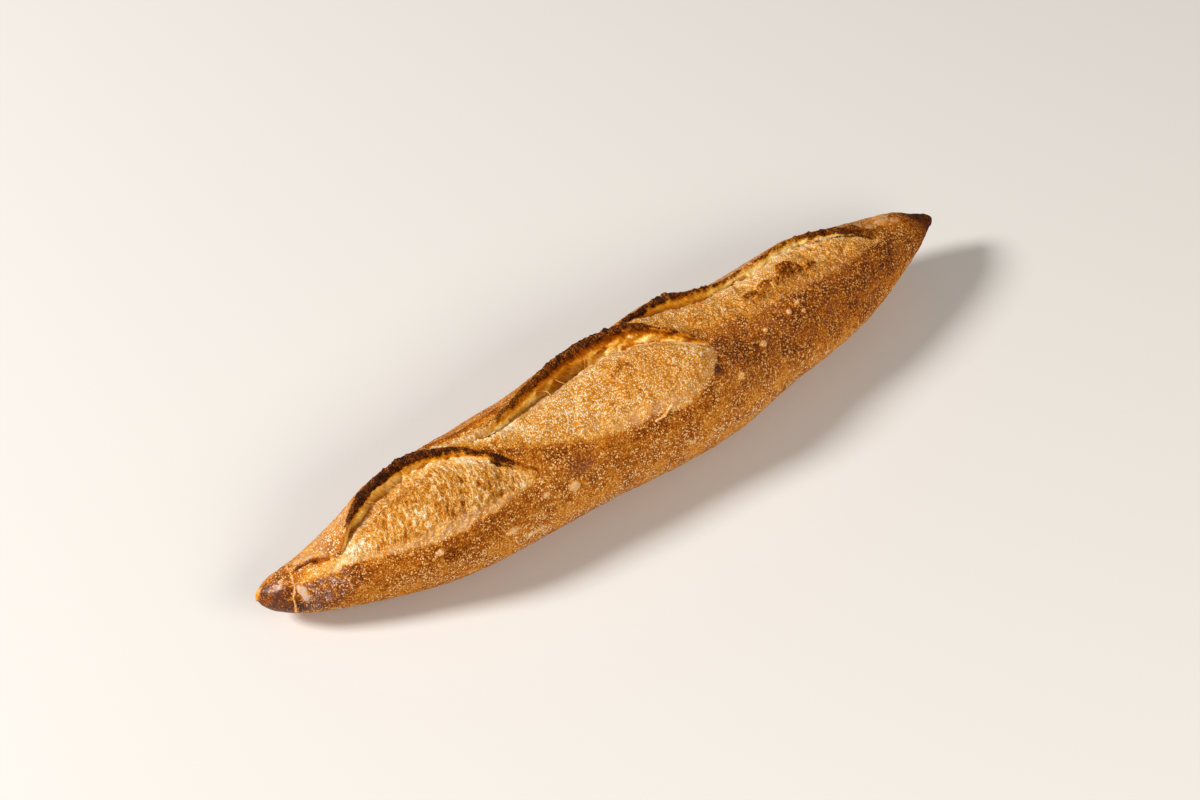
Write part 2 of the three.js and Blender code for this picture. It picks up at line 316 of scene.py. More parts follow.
torn = wall = inner = toasted = edging = nothing
char = burnt = singed = lip = brim = nothing
cream = skin = pocket = pocket_bake = nothing
pull = fill = sink = nothing
below_char = np.full(len(points), FAR_BELOW)
scorched = np.full(len(points), NO_CHAR)
ear_before = np.full(len(points), 360.0 + LEAST_GAP)
strand_ends = []
for slash in SLASHES:
    along = np.clip((share - slash["start"]) / (slash["end"] - slash["start"]), 0, 1)
    here = {name: value(along) for name, value in slash.items() if callable(value)}
    opened = np.maximum(0, here["opening"]) * size
    begun = ease(opened, 0.03, 0.16)
    ear = np.minimum(here["ear"], ear_before - LEAST_GAP)
    ear_before = ear
    arc = np.radians(angle - ear) * radius
    span = np.maximum(1, np.radians(here["front"] - ear) * radius)
    edge = slash["lift"] * opened
    drop = edge - height

    # The wall under the ear, and the crumb that is torn out to the front.
    below_lip = ease(drop, 0.8, 2.2)
    before_slit_end = ease(arc, SLIT_FRONT, SLIT_FRONT - 1.2)
    inside = np.maximum(ease(arc, 1.2, 2.4), ease(arc, SLIT_BACK, SLIT_BACK + 1.0) * below_lip)
    in_slit = ease(arc, SLIT_BACK, SLIT_BACK + 1.2) * before_slit_end * begun
    this_wall = ease(facing, 0.1, 0.5) * in_slit * below_lip
    across = arc / span + slash["fray"] * (coarse + 0.75 * crumble)
    this_torn = inside * ease((across - 0.99) / here["soft"], 0.7, -0.7) * begun
    inner = np.where(this_wall > wall, here["inner"], inner)
    wall = np.maximum(wall, this_wall)
    torn = np.maximum(torn, this_torn)
    toasted = np.maximum(toasted, slash["brown"] * this_torn * ease(across, 0.5, 1.0))
    skin = np.maximum(skin, here["skin"] * begun * ease(across, 0.8, 0.9) * ease(across, 1.02, 0.97))
    past = arc - span
    past_front = bell(past, 3.0, 3.5) * ease(past, -0.5, 0.8)
    edging = np.maximum(edging, begun * past_front * ease(angle, 95, 112))

    # The char on the lip, and how far below it the wall is.
    wrap = here["wrap"] + 0.5 * coarse
    at_lip = ease(arc, -wrap - 1.0, -wrap + 0.3) * before_slit_end * begun
    ragged_drop = drop + 0.8 * crumble + 1.2 * coarse
    browned = slash["reach"] * (0.5 + 0.15 * edge)
    this_below = np.where(in_slit > 0.05, (ragged_drop - here["scorch"]) / browned, FAR_BELOW)
    below_char = np.minimum(below_char, this_below)
    this_char = ease(ragged_drop, here["scorch"] + 0.4, here["scorch"] - 0.5)
    char = np.maximum(char, at_lip * here["dark"] * this_char)
    depth = np.minimum.reduce([here["scorch"] - drop - coarse, arc + wrap, CHAR_FRONT - arc])
    depth = depth - UNBEGUN * (1 - begun)
    burnt = np.where(depth > scorched, here["dark"], burnt)
    scorched = np.maximum(scorched, depth)
    singed = np.maximum(singed, begun * here["dark"] * ease(arc, -7.0, -1.5) * ease(arc, 1.0, 0.0))

    # The lip, the lean of the ear, and the crumb in and beside the slit.
    lip = np.maximum(lip, slash["rag"] * at_lip * ease(drop, 2.6, 0.6))
    brim = np.maximum(brim, begun * bell(arc, 0.2, 0.9) * ease(drop, 2.0, 0.4))
    pull = pull + here["pull"] * ease(angle, ear - 28, ear - 4) * ease(angle, ear + 18, ear + 3)
    fill = np.maximum(fill, here["fill"] * begun * inside * ease(arc, 7.0, 3.5) * ease(drop, 1.8, 4.2))
    sink = np.maximum(sink, here["sink"] * begun * ease(arc, 1.5, 3.5) * ease(arc, 13.0, 4.5))
    pale_wall = ease(this_below + 0.8 * crumble, 1.8, 3.2) * this_wall
    pale_part = np.maximum(ease(arc, 6.0, 3.6) * (1 - this_wall), pale_wall)
    cream = np.maximum(cream, here["cream"] * begun * inside * pale_part)

    for at_share, at_drop, length, tall, level in slash["pockets"]:
        from_middle = np.hypot((share - at_share) * LENGTH / length, (drop - at_drop) / tall)
        this_pocket = ease(from_middle + 0.25 * crumble + 0.3 * coarse, 1.3, 0.6) * this_wall
        pocket_bake = np.where(this_pocket > pocket, level, pocket_bake)
        pocket = np.maximum(pocket, this_pocket)
    for wall_share, wall_drop, bloom_share, bloom_arc in slash["strands"]:
        from_wall = np.hypot((share - wall_share) * LENGTH, drop - wall_drop)
        from_bloom = np.hypot((share - bloom_share) * LENGTH, arc - bloom_arc)
        wall_end = (from_wall + ELSEWHERE * (this_wall < 0.5)).argmin()
        bloom_end = (from_bloom + ELSEWHERE * (this_torn < 0.5)).argmin()
        strand_ends.append((wall_end, bloom_end))
cream = cream * (0.4 + 0.6 * ease(coarse + 0.8 * crumble, -0.4, 0.3))


def spot(at_share, at_angle, length, breadth, edge=0.5):
    """1 inside an uneven patch of the crust, given by its middle and its half sizes in millimetres."""
    lengthwise = (share - at_share) * LENGTH / length
    crosswise = np.radians((angle - at_angle + 180) % 360 - 180) * radius / breadth
    return ease(np.hypot(lengthwise, crosswise) + 0.25 * crumble, 1 + edge, 1 - edge)


def spots(places, edge=0.5):
    """Several such patches together."""
    together = nothing
    for place in places:
        together = np.maximum(together, spot(*place, edge))
    return together


def line(width, *places):
    """1 along a thin line over the crust through (share, angle) places."""
    near = np.full(len(points), LENGTH)
    corners = [(at * LENGTH, np.radians(turned)) for at, turned in places]
    for (x0, t0), (x1, t1) in zip(corners, corners[1:]):
        dx, dy = x1 - x0, (t1 - t0) * radius
        px, py = distance - x0, (np.radians(angle) - t0) * radius
        t = np.clip((px * dx + py * dy) / (dx * dx + dy * dy + 1e-6), 0, 1)
        near = np.minimum(near, np.hypot(px - t * dx, py - t * dy))
    return ease(near + 0.12 * crumble, 1.3 * width, 0.5 * width)


# The finish of each place: how hard it is baked, from 0 for bare crumb to 1 for char, with painted light and
# shade mixed in where noted, how many pale specks it has, its gloss, and its dry, dusty haze. It starts as
# plain crust, paler low down and darker on the left, where the darkening is painted shade that evens out the
# lamp's stronger light there.
finish = {
    "bake": 0.42 + 0.04 * ease(share, 0.32, 0.15) - 0.07 * ease(angle, 155, 190) * ease(angle, 330, 290),
    "speckle": np.ones(len(points)),
    "sheen": np.full(len(points), 0.02),
    "dust": nothing,
}


def paint(mask, **levels):
    """Brings a place to other levels of its finish, as far as the mask goes."""
    for name, level in levels.items():
        finish[name] = finish[name] + mask * (level - finish[name])


# Plain crust: redder brown beside the blooms and on the right, golden on one shoulder, and in blotches. It is
# dusty on the back, and in patches on the right it has a pale haze that is partly dust and partly painted
# streaky highlights.
# Here and below, a patch is (share, angle, half length, half breadth), as spot takes it.
BROWN_FLANK = (0.82, 138, 34, 13)
GOLDEN_SHOULDER = (0.31, 76, 26, 9)
DARK_BLOTCHES = [(0.380, 140, 5.0, 3.5), (0.626, 124, 5.0, 5.0), (0.617, 116, 4.0, 3.0)]
BROWN_BLOTCHES = [(0.660, 131, 6.0, 4.5), (0.735, 124, 8.0, 4.0), (0.200, 158, 6.0, 3.0)]
BURNT_CORNER = [(0.594, 115, 2.4, 2.4), (0.588, 127, 2.4, 2.8), (0.596, 121, 1.6, 2.4)]
DUST_AND_HIGHLIGHT_PATCHES = [(0.839, 164, 5, 8), (0.779, 150, 5, 9), (0.822, 128, 4, 6), (0.73, 112, 5, 3)]
right_side = ease(share, 0.57, 0.63) * ease(share, 0.97, 0.9) * ease(angle, 98, 110) * ease(angle, 172, 148)
paint(0.8 * right_side, bake=0.53, speckle=1.0, dust=0.06)
paint(0.8 * spot(*BROWN_FLANK, 0.7), bake=0.62, speckle=0.9)
paint(0.9 * spot(*GOLDEN_SHOULDER), bake=0.34)
paint(0.7 * edging * (1 - right_side), bake=0.53)
paint(spots(DARK_BLOTCHES, 0.9), bake=0.66, speckle=1.0, sheen=0.1, dust=0.1)
paint(spots(BROWN_BLOTCHES, 0.7), bake=0.60)
paint(spots(BURNT_CORNER, 0.9), bake=0.82, speckle=0.9, sheen=0.2, dust=0.12)
paint(ease(angle, 70, 20) * (1 - torn), bake=0.43, speckle=0.9, sheen=0.1, dust=0.03 + 0.03 * coarse)
paint(0.8 * spots(DUST_AND_HIGHLIGHT_PATCHES, 0.8), bake=0.55, speckle=0.9, sheen=0.1, dust=0.06)

# Behind the ears: browned along the lips, pinkish in two places, and flaking near the sharp end.
PINK_EARS = [(0.10, 60, 14, 7), (0.66, 56, 26, 6)]
FLAKES = [
    (0.885, 76, 3.4, 1.6),
    (0.905, 84, 3.0, 1.3),
    (0.925, 78, 3.6, 2.0),
    (0.945, 86, 2.6, 1.6),
    (0.935, 62, 4.0, 2.2),
]
flakes = spots(FLAKES, 0.3)
flake_edge = line(0.5, (0.872, 84), (0.897, 92), (0.915, 90), (0.935, 96))
paint(0.6 * singed * (1 - wall), bake=0.58, speckle=0.8)
paint(
    0.8 * spots(PINK_EARS, 0.6) * (1 - char) * (1 - wall),
    bake=0.30,
    speckle=0.6,
    sheen=0.05,
    dust=0.15,
)
paint(0.8 * flakes, bake=0.34, speckle=0.3, sheen=0.1, dust=0.25)
paint(0.6 * flake_edge, bake=0.75, speckle=0.0)

# Tips: the blunt one is scorched and shiny in front of a crease and purplish behind it, with a pale highlight
# painted along its top, and the sharp one is nearly black.
SCALDS = [(0.010, 95, 3.2, 5.0), (0.016, 160, 5.0, 6.0), (0.036, 172, 6.0, 3.0), (0.022, 118, 4.5, 1.2)]
PURPLE = [(0.056, 141, 4.0, 3.0), (0.074, 132, 4.0, 3.0), (0.046, 158, 2.5, 5.0), (0.062, 158, 5.0, 2.0)]
crease_share = curve((40, 0.046), (87, 0.039), (112, 0.035), (148, 0.028), (200, 0.027))
nose_crease = crease_share(angle) + 0.0015 * coarse
before_crease = ease(share, nose_crease + 0.002, nose_crease - 0.001)
brown_nose = ease(share + 0.012 * coarse, 0.105, 0.06) * ease(angle, 105, 128) * ease(angle, 205, 170)
# A painted highlight: pale lines along the top of the blunt nose, which is also glossy there.
nose_highlight = np.maximum(
    line(0.3, (0.011, 104), (0.019, 101), (0.029, 97)),
    line(0.25, (0.027, 84), (0.029, 97)),
)
sharp_brown = ease(share + 0.006 * coarse, 0.93, 0.978)
sharp_black = ease(share + 0.004 * coarse + 0.012 * ease(angle, 140, 90), 0.972, 0.992)
nose_bake = 0.48 + 0.14 * ease(angle, 85, 125)
paint(brown_nose, bake=0.60, speckle=0.8, sheen=0.4)
paint(before_crease * ease(angle, 20, 70), bake=nose_bake, speckle=0.9, sheen=0.5, dust=0.05)
paint(
    spots(SCALDS, 0.8) * ease(crumble + 0.5 * coarse, -0.5, 0.1),
    bake=0.84,
    speckle=0.6,
    sheen=1.0,
    dust=0.1,
)
paint(0.8 * spots(PURPLE, 0.8), bake=0.56, speckle=0.9, sheen=0.6, dust=0.6)
paint(nose_highlight * ease(crumble, -0.5, 0.0), bake=0.1, speckle=0.2, sheen=1.0, dust=0.5)
paint(sharp_brown, bake=0.66, speckle=0.6)
paint(sharp_black, bake=0.92, speckle=0.1)

# The blooms: torn fibres that run across, golden beside the third slit and browner out to the front.
# The second one starts low, behind the first ear, and the first one ends to the left in a pale tongue.
# Where fibres and pebbles rise the crumb is painted paler and in the hollows darker, partly its own tone and
# partly painted light and shade.
toast = curve(
    (0.1, 0.27), (0.32, 0.27), (0.36, 0.20), (0.5, 0.235),
    (0.6, 0.245), (0.66, 0.28), (0.72, 0.31), (0.9, 0.31),
)
fibre_share = curve((0.08, 1), (0.3, 1), (0.37, 0.35), (0.57, 0.35), (0.66, 0.5), (1, 0.5))
second_start = line(3.4, (0.252, 74), (0.270, 75), (0.290, 78), (0.312, 82), (0.335, 88)) * (1 - wall)
bloom = np.maximum(torn * (1 - wall), second_start)
golden = bloom * line(4.5, (0.66, 76), (0.70, 79), (0.75, 78), (0.80, 76), (0.84, 78))
tongue = line(1.8, (0.079, 115), (0.094, 110), (0.114, 106))
across_fibres = np.column_stack([points[:, 0] + 0.4 * turn * radius, 0.45 * turn * radius, nothing])
fibres = ridged(1.7, 5, 2, across_fibres)
fibrous = fibre_share(share) * (1 - 0.6 * golden)
bloom_bake = toast(share) + toasted + 0.06 * lumps - 0.24 * fibrous * (fibres - 0.5) - 0.1 * pebbles
paint(bloom, bake=bloom_bake, speckle=0.75, sheen=0.1)
paint(np.maximum(tongue, bloom * ease(share, 0.13, 0.095)), bake=0.08, speckle=0.4)
paint(bloom * 0.7 * spot(0.181, 90, 5, 4, 0.8), bake=0.52)
paint(0.8 * second_start, bake=0.14 - 0.1 * pebbles)
paint(golden, bake=0.24 - 0.06 * pebbles)
paint(bloom * 0.4 * spot(0.49, 98, 24, 8, 0.8), bake=0.34 - 0.1 * pebbles)
paint(0.7 * skin, bake=0.26, speckle=0.3, sheen=0.1, dust=0.25)

# The slits: walls that brown towards the char above, pale crumb, and pockets left by gas.
# The wall's tone, set by inner, is partly its bake and partly painted light and shade.
wall_bake = inner + 0.06 * coarse + 0.34 * ease(below_char, 2.6, 0.0)
paint(wall, bake=wall_bake, speckle=0.0, sheen=0.0)
paint(cream, bake=0.03, speckle=0.1, sheen=0.0)
paint(pocket, bake=pocket_bake + 0.1 * coarse, speckle=0.0, sheen=0.0)

# Crags, ridges and holes of the third bloom, and pits of the first.
CRAGS = [(0.753, 89, 4.8, 2.8), (0.762, 93, 3.4, 1.6), (0.783, 96, 3.0, 1.1)]
RIDGES = [(0.713, 90, 3.4, 1.3), (0.686, 92, 4.4, 1.1), (0.703, 96, 4.0, 1.0), (0.732, 93, 3.0, 1.2)]
HOLES = [(0.793, 83, 3.0, 1.8), (0.811, 80, 2.2, 1.5), (0.69, 83, 3.0, 1.5), (0.828, 82, 2.4, 1.3)]
PITS = [(0.276, 130, 1.5, 1.3), (0.247, 106, 1.2, 1.0), (0.259, 114, 1.1, 1.0), (0.232, 122, 0.9, 0.9)]
broken = ease(crumble + 0.5 * coarse + 0.4 * pebbles, -0.8, -0.3)
crags = spots(CRAGS, 0.3) * broken
ridges = spots(RIDGES, 0.4) * broken
holes = spots(HOLES)
pits = spots(PITS)
# Where the pebbles rise, the ridges and crags are painted paler, partly their own tone and partly painted
# light.
paint(ridges, bake=0.55 - 0.16 * pebbles, speckle=0.6)
paint(crags, bake=0.70 - 0.2 * pebbles, speckle=0.8)
paint(0.8 * holes, bake=0.32, speckle=0.0)
paint(pits, bake=0.48, speckle=0.0)

# Ends of the ears: a low brown edge where the second starts, and a fine split beside a pale spot where the
# first runs out. A curl and a peel of crust lie on the second bloom.
low_ear = line(1.2, (0.243, 61), (0.271, 65), (0.304, 66), (0.337, 68))
split = line(0.6, (0.293, 104), (0.300, 110), (0.308, 115), (0.320, 122), (0.330, 128))
curl = line(0.5, (0.487, 139), (0.500, 138), (0.512, 134))
peel = line(0.8, (0.470, 94), (0.480, 93), (0.488, 90), (0.494, 93))
paint(low_ear * ease(coarse, -0.6, 0.0), bake=0.66, speckle=0.2)
paint(0.9 * split, bake=0.74, speckle=0.1)
paint(bloom * spot(0.314, 131, 4.5, 3.0, 0.7), bake=0.14 - 0.1 * pebbles, speckle=0.5)
paint(curl, bake=0.05, speckle=0.2)
paint(peel, bake=0.46, speckle=0.2)
paint(char, bake=0.6, speckle=0.0, sheen=0.0, dust=0.0)

# Blisters of the near crust.
BLISTERS = [
    (0.361, 155, 2.0, 1.8),
    (0.324, 150, 1.3, 1.1),
    (0.736, 118, 1.2, 0.9),
    (0.718, 121, 1.3, 1.0),
    (0.738, 127, 1.0, 0.8),
    (0.676, 123, 1.0, 0.8),
    (0.664, 132, 1.5, 1.3),
    (0.614, 143, 1.4, 1.5),
    (0.272, 166, 2.6, 1.3),
    (0.300, 181, 3.4, 1.2),
    (0.184, 153, 1.6, 1.3),
    (0.525, 172, 1.2, 1.2),
]
blister = spots(BLISTERS, 0.4)
paint(0.85 * blister, bake=0.14, speckle=0.2, sheen=0.1, dust=0.2)

# The blunt end: a nick with its flap, thin pale wrinkles, the crease with a waxy facet, and a golden nub.
nick_flap = line(1.8, (0.053, 68), (0.062, 75), (0.078, 88))
nick_slit = line(0.8, (0.048, 79), (0.056, 82), (0.064, 85), (0.080, 97))
nick_floor = spot(0.063, 104, 7.5, 3.4, 0.35)
WRINKLES = [
    ((0.060, 128), (0.063, 150)),
    ((0.067, 136), (0.069, 160)),
    ((0.075, 124), (0.080, 141)),
    ((0.086, 134), (0.086, 158)),
    ((0.094, 144), (0.099, 164)),
    ((0.104, 130), (0.105, 142)),
]
wrinkles = np.maximum.reduce([line(0.3, *ends) for ends in WRINKLES])
on_front = ease(angle, 30, 70) * ease(angle, 215, 185)
crease = ease(abs(share - nose_crease) * LENGTH + 0.2 * crumble, 0.5, 0.15) * on_front
facet = spot(0.0395, 138, 1.5, 3.6, 0.35)
nub = spot(0.004, 60, 1.6, 1.6, 0.4)
paint(0.8 * nick_flap, bake=0.36, speckle=0.4, sheen=0.1, dust=0.45)
paint(nick_floor, bake=0.29, speckle=0.6, sheen=0.05)
paint(nick_slit, bake=0.80 - 0.25 * ease(share, 0.066, 0.074), speckle=0.0, sheen=0.0, dust=0.0)
paint(0.5 * wrinkles, bake=0.30, speckle=0.6, sheen=0.5, dust=0.4)
paint(0.8 * crease, bake=0.16, speckle=0.2, sheen=0.3, dust=0.2)
paint(0.9 * facet, bake=0.36, speckle=0.0, sheen=0.8, dust=1.0)
paint(nub, bake=0.28, speckle=0.6, sheen=0.1, dust=0.0)

# The underside, dry and floury from the oven floor.
under = ease(points[:, 2], 1.2, 0.2)
paint(under, bake=0.5 + 0.1 * coarse, speckle=0.3, sheen=0.0, dust=0.15 + 0.2 * coarse)

# Relief, in millimetres out along the surface. It fades out towards the flat underside.
relief = bloom * (0.65 * fibrous * (fibres - 0.5) + 0.3 * pebbles + 0.7 * lumps)
relief += (
    wall * (0.4 * (streaks - 0.5) + 0.5 * crumble + 0.6 * coarse)
    + fill * (1 + 0.9 * coarse + 0.6 * crumble)
)
relief += (1 - torn) * (0.22 * lumps + 0.1 * pebbles)
relief += char * (0.5 * crumble + 0.4 * (streaks - 0.5) + 0.4 * (ridged(1.7, 10) - 0.5))
relief += (
    0.5 * blister
    + 0.25 * wrinkles
    + 0.9 * nub
    + 0.3 * facet
    + (1.3 + 0.9 * pebbles) * np.maximum(crags, ridges)
    + 0.6 * flakes
)
relief += 1.2 * low_ear + 0.5 * curl + 0.9 * peel + 0.4 * crease + 0.5 * nick_floor + 0.8 * nick_flap
relief -= sink + 0.8 * split + 1.1 * nick_slit + 1.3 * holes + 1.1 * pits + 2.2 * pocket + 0.3 * edging * torn
relief -= 0.5 * before_crease * bell((share - nose_crease) * LENGTH, -0.8, 0.9) * on_front
relief *= ease(points[:, 2], 0.0, 1.5)

# The lips of the ears stand up in uneven teeth, with notches broken out.
BRIM_HEIGHT = 1.2
notches = ease(rough(2.6, 9, 1), 0.3, 0.55)
teeth = 0.9 * rough(9.0, 7, 1) + 0.7 * rough(3.4, 8) - 0.8 * notches + 0.6 * rough(1.5, 11, 1)
outward = np.column_stack([nothing, np.cos(turn), np.sin(turn)])
shaped = points + normals * relief[:, None] + outward * (lip * teeth + BRIM_HEIGHT * brim)[:, None]

# Parts of the ears are pulled further back, which opens the slash.
back_by = np.radians(pull)
over_y = (shaped[:, 1] - points[:, 1] + back_y) / half_width
over_z = (shaped[:, 2] - axis_height(share)) / rise
shaped[:, 1] += half_width * (over_y * np.cos(back_by) + over_z * np.sin(back_by) - over_y)
shaped[:, 2] += rise * (over_z * np.cos(back_by) - over_y * np.sin(back_by) - over_z)

# The sharp end is drawn out and down, with a small knob and a slight waist on top behind it.
DRAWN_LENGTH = 16.0
TIP_REACH = 3.4
TIP_DROP = 2.2
KNOB_HEIGHT = 0.5
KNOB_START = 317.2  # from the blunt end, as the next two
KNOB_FULL = 318.0
WAIST_MIDDLE = 313.5
WAIST_LENGTH = 4.0
WAIST_DEPTH = 0.7  # as a share of the knob's height
drawn = np.clip((distance - (LENGTH - DRAWN_LENGTH)) / DRAWN_LENGTH, 0, 1) ** 2
shaped[:, 0] += TIP_REACH * drawn
shaped[:, 2] -= TIP_DROP * drawn
knob = ease(distance, KNOB_START, KNOB_FULL)
waist = WAIST_DEPTH * bell(distance, WAIST_MIDDLE, WAIST_LENGTH) * ease(up_z, 0, 3)
shaped[:, 1:] += KNOB_HEIGHT * (knob - waist)[:, None] * outward[:, 1:]
loaf.data.vertices.foreach_set("co", (shaped * MM).astype(np.float32).ravel())

# What the material reads at each point, kept on the mesh, which is then thinned to its final triangles.
finish["dust"] = np.clip(finish["dust"], 0, 1)
readings = {
    **finish,
    "bloom": bloom * (1 - cream) * (1 - skin),
    "fibrous": fibrous,
    "wall": wall,
    "scorched": scorched,
    "burn": burnt,
    "fall": height,
    "arc": turn * radius,
}
for name, values in readings.items():
    kept = loaf.data.attributes.new(name, "FLOAT", "POINT")
    kept.data.foreach_set("value", values.astype(np.float32))
triangles = len(loaf.data.loops) - 2 * len(loaf.data.polygons)
work_over(loaf, "DECIMATE", ratio=min(1.0, MOST_TRIANGLES / triangles))
bpy.ops.object.shade_smooth()


class Shade:
    """A number, colour or vector that a material works out over the surface."""

    def __init__(self, socket):
        self.socket = socket

    def node(self, kind, settings, sockets, output=0):
        """Adds a node beside this value and gives one of its outputs."""
        tree = self.socket.id_data
        made = tree.nodes.new(kind)
        for name, setting in settings.items():
            if name == "stops":
                ramp = made.color_ramp
                for i, (position, colour) in enumerate(setting):
                    stop = ramp.elements[i] if i < 2 else ramp.elements.new(position)
                    stop.position = position
                    stop.color = (*colour, 1)
            else:
                setattr(made, name, setting)
        for name, given in sockets.items():
            if isinstance(given, Shade):
                tree.links.new(given.socket, made.inputs[name])
            else:
                made.inputs[name].default_value = given
        return Shade(made.outputs[output])

    def feed(self, shader, name):
        """Links this value to a socket of the shader."""
        self.socket.id_data.links.new(self.socket, shader.inputs[name])

    def math(self, operation, first, second):
        """One step of arithmetic."""
        return self.node("ShaderNodeMath", {"operation": operation}, {0: first, 1: second})

    def __add__(self, other):
        return self.math("ADD", self, other)

    def __radd__(self, other):
        return self.math("ADD", other, self)

    def __sub__(self, other):
        return self.math("SUBTRACT", self, other)

    def __rsub__(self, other):
        return self.math("SUBTRACT", other, self)

    def __mul__(self, other):
        return self.math("MULTIPLY", self, other)

    def __rmul__(self, other):
        return self.math("MULTIPLY", other, self)

    def at_least(self, low):
        """This value, or low where it is less."""
        return self.math("MAXIMUM", self, low)

    def at_most(self, high):
        """This value, or high where it is more."""
        return self.math("MINIMUM", self, high)

    def within(self, low, high):
        """This value from low to high as 0 to 1, level outside."""
        smooth = {"interpolation_type": "SMOOTHSTEP"}
        return self.node("ShaderNodeMapRange", smooth, {0: self, 1: low, 2: high})

    def blend(self, first, second):
        """A colour between two others, by this value."""
        return self.node("ShaderNodeMix", {"data_type": "RGBA"}, {0: self, 6: first, 7: second}, 2)

    def attribute(self, name):
        """What is kept on the mesh under that name."""
        return self.node("ShaderNodeAttribute", {"attribute_name": name}, {}, "Fac")

    def bent(self, by, reach):
        """This place moved by up to the reach, in millimetres."""
        settings = {"operation": "MULTIPLY_ADD"}
        return self.node("ShaderNodeVectorMath", settings, {0: by, 1: (reach * MM,) * 3, 2: self})

    def noise(self, length, detail=2.0, roughness=0.5):
        """Soft noise of 0 to 1, in lumps of that length in millimetres."""
        sockets = {"Vector": self, "Scale": 1 / (length * MM), "Detail": detail, "Roughness": roughness}
        return self.node("ShaderNodeTexNoise", {"noise_dimensions": "3D"}, sockets)

    def cells(self, length, output="Distance", feature="F1"):
        """Distance from the middle of each cell of that length or from its edge, or the cell's own colour."""
        sockets = {"Vector": self, "Scale": 1 / (length * MM), "Randomness": 1.0}
        return self.node("ShaderNodeTexVoronoi", {"feature": feature}, sockets, output)

    def cell_tone(self, length):
        """A chance value of 0 to 1 for each such cell."""
        return self.node("ShaderNodeSeparateColor", {}, {0: self.cells(length, "Color")})


def start_material(name):
    """A new material, its shader, and the place on the surface that its patterns read."""
    material = bpy.data.materials.new(name)
    material.use_nodes = True
    nodes = material.node_tree.nodes
    return material, nodes["Principled BSDF"], Shade(nodes.new("ShaderNodeTexCoord").outputs["Object"])


# The crust goes from the cream of torn crumb over gold and brown to char, by how hard each place is baked,
# with its painted light and shade added.
BAKED = [
    (0.0, (0.97, 0.86, 0.66)),
    (0.06, (0.95, 0.69, 0.38)),
    (0.1, (0.92, 0.60, 0.27)),
    (0.2, (0.82, 0.45, 0.15)),
    (0.3, (0.73, 0.34, 0.052)),
    (0.4, (0.63, 0.245, 0.020)),
    (0.5, (0.51, 0.166, 0.013)),
    (0.6, (0.38, 0.102, 0.008)),
    (0.7, (0.25, 0.056, 0.003)),
    (0.8, (0.15, 0.034, 0.004)),
    (0.9, (0.075, 0.019, 0.004)),
    (1.0, (0.028, 0.009, 0.004)),
]
DUST = (0.64, 0.46, 0.36, 1)
SCALD = (0.17, 0.07, 0.055, 1)
PAINTED_CHAR_REFLECTION = (0.085, 0.045, 0.036, 1)
GLOW = (1.0, 1.01, 0.5)  # the warm tint of light that is thrown about inside a slit
GRAIN = 0.7  # sizes of the crust's fine grains, domes and sparks, in millimetres
DOME = 1.6
GLINT_SPECK = 0.42
WOBBLE = 1.5  # length of the noise that bends the grains out of round
FIBRE = 1.15  # breadth of a torn fibre
STRETCH = 0.45  # of the fibres across the bloom

crust, shader, surface = start_material("baked_crust")
in_bloom = surface.attribute("bloom")
in_wall = surface.attribute("wall")
in_web = surface.attribute("fibrous")
speckle = surface.attribute("speckle")
sheen = surface.attribute("sheen")
burn = surface.attribute("burn")
mottle = surface.noise(9.0, detail=3.0)
freckle = surface.noise(2.6, detail=3.0, roughness=0.6)
grit = surface.noise(0.6, roughness=0.6)
ragged = 1.8 * (freckle - 0.5) + 1.6 * (grit - 0.5)
charred = (surface.attribute("scorched") + ragged).within(-0.5, 0.5)

# Fine grains, larger domes and bright specks, each baked a little differently. On the crust the pale specks
# and dome tops are partly pale blisters and partly painted glints.
wobble_sockets = {"Vector": surface, "Scale": 1 / (WOBBLE * MM), "Detail": 1.0}
wobble = surface.node("ShaderNodeTexNoise", {}, wobble_sockets, "Color")
grain_place = surface.bent(wobble, 0.3)
from_grain = grain_place.cells(GRAIN)
grain = 1 - from_grain.within(0.1, 0.62)
grain_tone = grain_place.cell_tone(GRAIN)
puff = grain * (0.3 + 0.7 * grain_tone)
fine_speck = (grain_tone - 1.3 * from_grain - 0.02).within(0.0, 0.45) * (0.25 + mottle.within(0.36, 0.62))
dome = 1 - grain_place.cells(DOME).within(0.08, 0.55)
pale_dome = dome.within(0.2, 0.8) * grain_place.cell_tone(DOME).within(0.7, 0.9)
glint_speck = (surface.cell_tone(GLINT_SPECK) - 1.1 * surface.cells(GLINT_SPECK) - 0.2).within(0.0, 0.5)

# Torn fibres run across the blooms, and streaks run down the walls under the ears.
lengthwise = surface.node("ShaderNodeSeparateXYZ", {}, {0: surface})
fibre_sockets = {"X": lengthwise, "Y": surface.attribute("arc") * (STRETCH * MM)}
weave = surface.node("ShaderNodeCombineXYZ", {}, fibre_sockets)
ridge = weave.node(
    "ShaderNodeTexNoise",
    {"noise_dimensions": "3D", "noise_type": "RIDGED_MULTIFRACTAL"},
    {
        "Vector": weave,
        "Scale": 1 / (FIBRE * MM),
        "Detail": 1.0,
        "Distortion": 0.8,
        "Offset": 1.0,
        "Gain": 1.5,
    },
)
fibre = ridge.within(0.7, 1.6)
web_edge = weave.bent(wobble, 1.6).cells(1.5, "Distance", "DISTANCE_TO_EDGE")
web = (1 - web_edge.within(0.02, 0.2)) * freckle.within(0.38, 0.6)
fall = surface.attribute("fall") * MM
drape = surface.node("ShaderNodeCombineXYZ", {}, {"X": lengthwise + 0.7 * fall, "Y": 0.2 * fall})
streak = drape.noise(0.7, detail=3.0, roughness=0.6)

